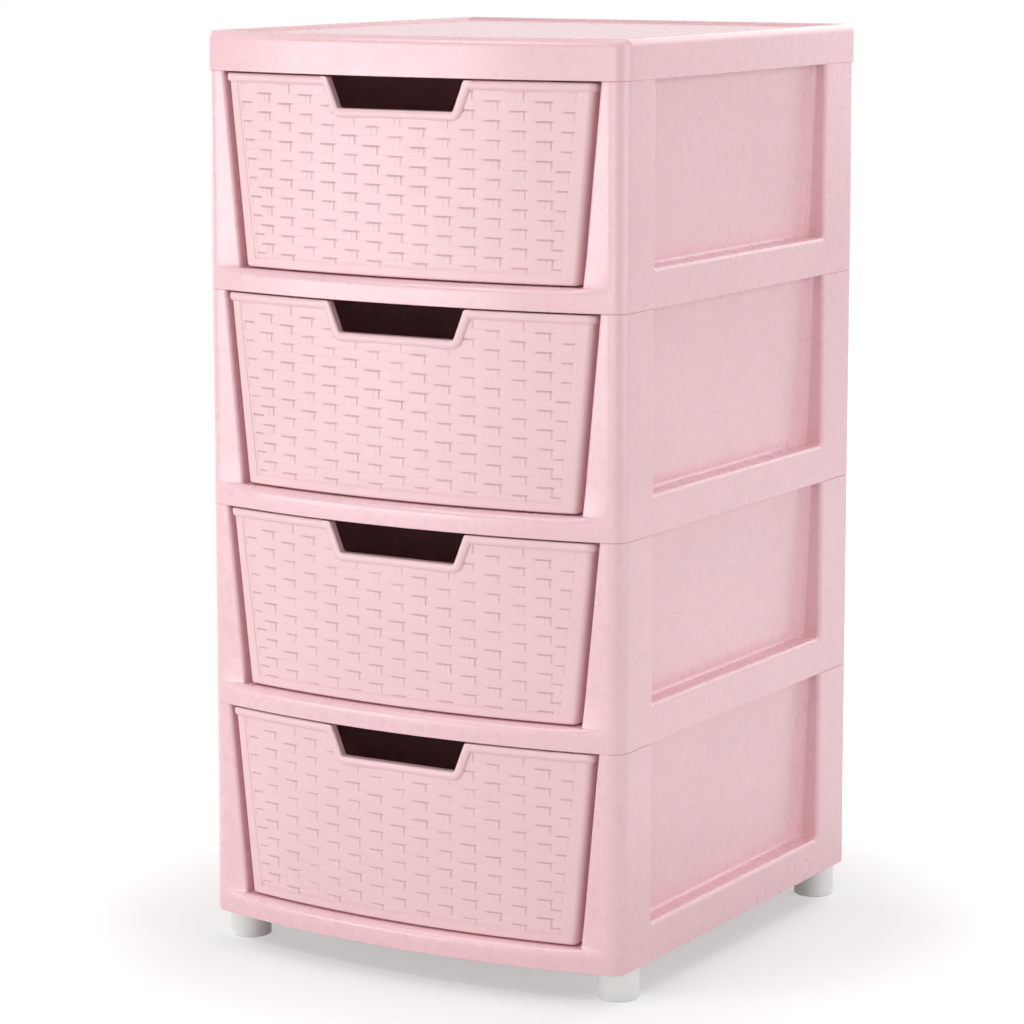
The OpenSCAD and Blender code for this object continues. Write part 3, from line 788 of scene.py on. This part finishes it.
def plastic(name, color, rough, grain=GRAIN_H, striations=0.0, hollow=None):
    """A moulded plastic.

    striations is the share of fine level lines in its grain, and hollow the colour of the painted shade laid
    in its hollows.
    """
    mat = bpy.data.materials.new(name)
    mat.use_nodes = True
    nt = mat.node_tree
    nodes, links = nt.nodes, nt.links
    bsdf = nodes["Principled BSDF"]
    coords = nodes.new("ShaderNodeTexCoord")

    def noise(scale, detail=2.0, stretch=None):
        tex = nodes.new("ShaderNodeTexNoise")
        tex.inputs["Scale"].default_value = scale
        tex.inputs["Detail"].default_value = detail
        source = coords.outputs["Object"]
        if stretch:
            mapping = nodes.new("ShaderNodeMapping")
            mapping.inputs["Scale"].default_value = stretch
            links.new(source, mapping.inputs["Vector"])
            source = mapping.outputs["Vector"]
        links.new(source, tex.inputs["Vector"])
        return tex.outputs["Fac"]

    def ramp(value, low, high):
        node = nodes.new("ShaderNodeMapRange")
        node.inputs["From Min"].default_value = NOISE_LOW
        node.inputs["From Max"].default_value = NOISE_HIGH
        node.inputs["To Min"].default_value = low
        node.inputs["To Max"].default_value = high
        links.new(value, node.inputs["Value"])
        return node.outputs["Result"]

    # broad clouding of the pigment, as a moulded wall shows
    mix = nodes.new("ShaderNodeMix")
    mix.data_type = "RGBA"
    mix.inputs["A"].default_value = (*[c * CLOUD_DARK for c in color], 1)
    mix.inputs["B"].default_value = (*[min(1, c * CLOUD_LIGHT) for c in color], 1)
    links.new(ramp(noise(CLOUD_SCALE, 3.0), 0.0, 1.0), mix.inputs["Factor"])
    tone = mix.outputs["Result"]
    if hollow:
        # painted shade: the hollows of the relief are coloured darker than the strands, as shade would fall
        # there
        depth = nodes.new("ShaderNodeAttribute")
        depth.attribute_name = "hollow"
        shaded = nodes.new("ShaderNodeMix")
        shaded.data_type = "RGBA"
        shaded.inputs["B"].default_value = (*hollow, 1)
        links.new(tone, shaded.inputs["A"])
        links.new(depth.outputs["Fac"], shaded.inputs["Factor"])
        tone = shaded.outputs["Result"]
    links.new(tone, bsdf.inputs["Base Color"])
    links.new(ramp(noise(ROUGH_SCALE), rough - ROUGH_LESS, rough + ROUGH_MORE), bsdf.inputs["Roughness"])
    bump = nodes.new("ShaderNodeBump")
    bump.inputs["Strength"].default_value = GRAIN_STRENGTH
    bump.inputs["Distance"].default_value = grain
    height = noise(GRAIN_SCALE, 1.0)
    if striations:
        fine = noise(1.0, 1.0, STRIATION_SCALE)
        blend = nodes.new("ShaderNodeMix")
        blend.inputs["Factor"].default_value = striations
        links.new(height, blend.inputs["A"])
        links.new(fine, blend.inputs["B"])
        height = blend.outputs["Result"]
    links.new(height, bump.inputs["Height"])
    links.new(bump.outputs["Normal"], bsdf.inputs["Normal"])
    bsdf.inputs["IOR"].default_value = REFRACTION
    bsdf.inputs["Specular IOR Level"].default_value = SPECULAR
    return mat


def srgb(r, g, b):
    """Linear values of a colour in bytes."""
    return [((c / 255 + 0.055) / 1.055) ** 2.4 if c > 10 else c / 255 / 12.92 for c in (r, g, b)]


FRAME_MAT = plastic("frame_plastic", srgb(243, 200, 206), rough=0.28, grain=SMOOTH_GRAIN_H)
# the drawers' hollow colour is painted shade in the hollows of the weave
DRAWER_MAT = plastic("drawer_plastic", srgb(243, 204, 207), rough=0.38, striations=0.6,
                     hollow=srgb(212, 166, 172))
FOOT_MAT = plastic("foot_plastic", srgb(244, 244, 241), rough=0.4)


def dress(obj, body, slot, mat, *nodes):
    """Gives a piece its material and body, and hides the CAD nodes that it stands for. slot is not used."""
    obj.data.materials.clear()
    obj.data.materials.append(mat)
    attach(obj, body)
    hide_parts(*nodes)


# ---------------------------------------------------------------- the pieces

dress(build_cover(), "tower", "frame_pink", FRAME_MAT, "top_cover")

frames, tubs = {}, {}
for i, h in enumerate(TIER_H):
    # tiers of one height share their shapes, which are made when the height first comes up
    if h not in frames:
        frames[h] = build_frame("first", h).data
    obj = placed_copy(f"frame_{i + 1}", frames[h], TIER_Z[i])
    dress(obj, "tower", "frame_pink", FRAME_MAT, f"tier_{i + 1}")
    if h not in tubs:
        tubs[h] = build_drawer("first", h).data
    obj = placed_copy(f"tub_{i + 1}", tubs[h], TIER_Z[i])
    dress(obj, f"drawer_{i + 1}", "drawer_pink", DRAWER_MAT, f"drawer_{i + 1}")
for obj in [o for o in bpy.data.objects if o.name.startswith("first")]:
    bpy.data.objects.remove(obj)

for name, x, y in (("foot_front_left", -FOOT_X, FOOT_FRONT_Y), ("foot_front_right", FOOT_X, FOOT_FRONT_Y),
                   ("foot_back_left", -FOOT_X, FOOT_BACK_Y), ("foot_back_right", FOOT_X, FOOT_BACK_Y)):
    dress(build_foot("cup_" + name, x, y), "tower", "foot_white", FOOT_MAT, name)

# ---------------------------------------------------------------- camera

# the camera as fitted to the photograph, in pixels, millimetres and degrees
FOCAL_PX, IMAGE_PX, SENSOR_W, SHIFT_Y = 3599.0, 1024, 36, -0.085
CAMERA_AT, CAMERA_DOWN, CAMERA_TURN = (1556.7, -2662.8, 885.2), 8.26, 30.62

camera = bpy.data.cameras.new("camera")
camera.sensor_width = SENSOR_W
camera.lens = FOCAL_PX / IMAGE_PX * SENSOR_W
camera.shift_y = SHIFT_Y
camera.clip_end = 30
view = bpy.data.objects.new("camera", camera)
bpy.context.scene.collection.objects.link(view)
view.location = Vector(CAMERA_AT) * MM
view.rotation_euler = (math.radians(90 - CAMERA_DOWN), 0, math.radians(CAMERA_TURN))
bpy.context.scene.camera = view

# ---------------------------------------------------------------- stage and light

# The floor is pale grey. To the camera and in reflections it also glows, which is painted light: by GLOW_IN
# within GLOW_START metres of the tower's middle and by GLOW_OUT from GLOW_REACH metres on. The weaker glow
# near the tower leaves the floor there painted darker round its foot, on top of the real shadow, and the
# full glow further out paints over any shadow. That gives the photograph's white ground with a soft shadow.
STAGE_R, STAGE_T, STAGE_N = 6000, 5, 64
FLOOR_GREY, FLOOR_ROUGH = 0.62, 0.9
GLOW_START, GLOW_REACH, GLOW_IN, GLOW_OUT = 0.28, 0.66, 0.42, 1.0
AMBIENT = 0.18
LIT_POINT = (0, 0, 0.4)

n = STAGE_N
faces = [tuple(range(n)), tuple(range(2 * n - 1, n - 1, -1))]
faces += [(i, (i + 1) % n, n + (i + 1) % n, n + i) for i in range(n)]
floor = new_object("floor", [(x, y, z) for z in (0, -STAGE_T) for x, y in disc(0, 0, STAGE_R, n)], faces)
floor_mat = bpy.data.materials.new("floor")
floor_mat.use_nodes = True
nt = floor_mat.node_tree
base = nt.nodes["Principled BSDF"]
base.inputs["Base Color"].default_value = (FLOOR_GREY, FLOOR_GREY, FLOOR_GREY, 1)
base.inputs["Roughness"].default_value = FLOOR_ROUGH
base.inputs["Specular IOR Level"].default_value = 0.0
glow = nt.nodes.new("ShaderNodeEmission")
glow.inputs["Color"].default_value = (1, 1, 1, 1)
path = nt.nodes.new("ShaderNodeLightPath")
place = nt.nodes.new("ShaderNodeTexCoord")
reach = nt.nodes.new("ShaderNodeVectorMath")
reach.operation = "LENGTH"
level = nt.nodes.new("ShaderNodeMapRange")
level.interpolation_type = "SMOOTHSTEP"
level.inputs["From Min"].default_value = GLOW_START
level.inputs["From Max"].default_value = GLOW_REACH
level.inputs["To Min"].default_value = GLOW_IN
level.inputs["To Max"].default_value = GLOW_OUT
gain = nt.nodes.new("ShaderNodeMath")
gain.operation = "MULTIPLY"
nt.links.new(place.outputs["Object"], reach.inputs[0])
nt.links.new(reach.outputs["Value"], level.inputs["Value"])
nt.links.new(level.outputs["Result"], gain.inputs[1])
both = nt.nodes.new("ShaderNodeAddShader")
shown = nt.nodes.new("ShaderNodeMath")
shown.operation = "MAXIMUM"
nt.links.new(path.outputs["Is Camera Ray"], shown.inputs[0])
nt.links.new(path.outputs["Is Glossy Ray"], shown.inputs[1])
nt.links.new(shown.outputs[0], gain.inputs[0])
nt.links.new(gain.outputs[0], glow.inputs["Strength"])
nt.links.new(base.outputs[0], both.inputs[0])
nt.links.new(glow.outputs[0], both.inputs[1])
nt.links.new(both.outputs[0], nt.nodes["Material Output"].inputs["Surface"])
floor.data.materials.append(floor_mat)

# the surroundings give a little light, and show white to the camera and in reflections
world = bpy.data.worlds.new("world")
bpy.context.scene.world = world
world.use_nodes = True
nt = world.node_tree
ambient = nt.nodes["Background"]
ambient.inputs["Color"].default_value = (1, 1, 1, 1)
ambient.inputs["Strength"].default_value = AMBIENT
white = nt.nodes.new("ShaderNodeBackground")
white.inputs["Color"].default_value = (1, 1, 1, 1)
white.inputs["Strength"].default_value = 1.0
path = nt.nodes.new("ShaderNodeLightPath")
seen = nt.nodes.new("ShaderNodeMath")
seen.operation = "MAXIMUM"
mix = nt.nodes.new("ShaderNodeMixShader")
nt.links.new(path.outputs["Is Camera Ray"], seen.inputs[0])
nt.links.new(path.outputs["Is Glossy Ray"], seen.inputs[1])
nt.links.new(seen.outputs[0], mix.inputs[0])
nt.links.new(ambient.outputs[0], mix.inputs[1])
nt.links.new(white.outputs[0], mix.inputs[2])
nt.links.new(mix.outputs[0], nt.nodes["World Output"].inputs["Surface"])


def softbox(name, location, size, power):
    """A rectangular light aimed at the tower's middle, in metres and watts."""
    light = bpy.data.lights.new(name, "AREA")
    light.shape, light.size, light.size_y, light.energy = "RECTANGLE", size[0], size[1], power
    obj = bpy.data.objects.new(name, light)
    bpy.context.scene.collection.objects.link(obj)
    obj.location = location
    obj.rotation_euler = (Vector(LIT_POINT) - Vector(location)).to_track_quat("-Z", "Y").to_euler()


# A key from above and ahead, a low sheen light where the camera sees the front mirrored, a fill from ahead,
# and a light each for the right side, the top, the left side and the back
softbox("key", (-1.1, -2.0, 2.9), (1.5, 0.8), 25)
softbox("sheen", (-1.75, -2.7, 0.45), (2.0, 0.8), 33)
softbox("fill", (0.75, -3.2, 0.55), (2.0, 0.9), 17)
softbox("side", (3.3, 0.3, 1.05), (2.6, 2.2), 45)
softbox("top", (0.4, 0.2, 3.4), (2.0, 2.0), 28)
softbox("left", (-3.4, 0.7, 1.3), (2.4, 2.0), 34)
softbox("back", (0.3, 3.5, 1.5), (2.6, 2.2), 40)

bpy.context.scene.view_settings.view_transform = "Standard"
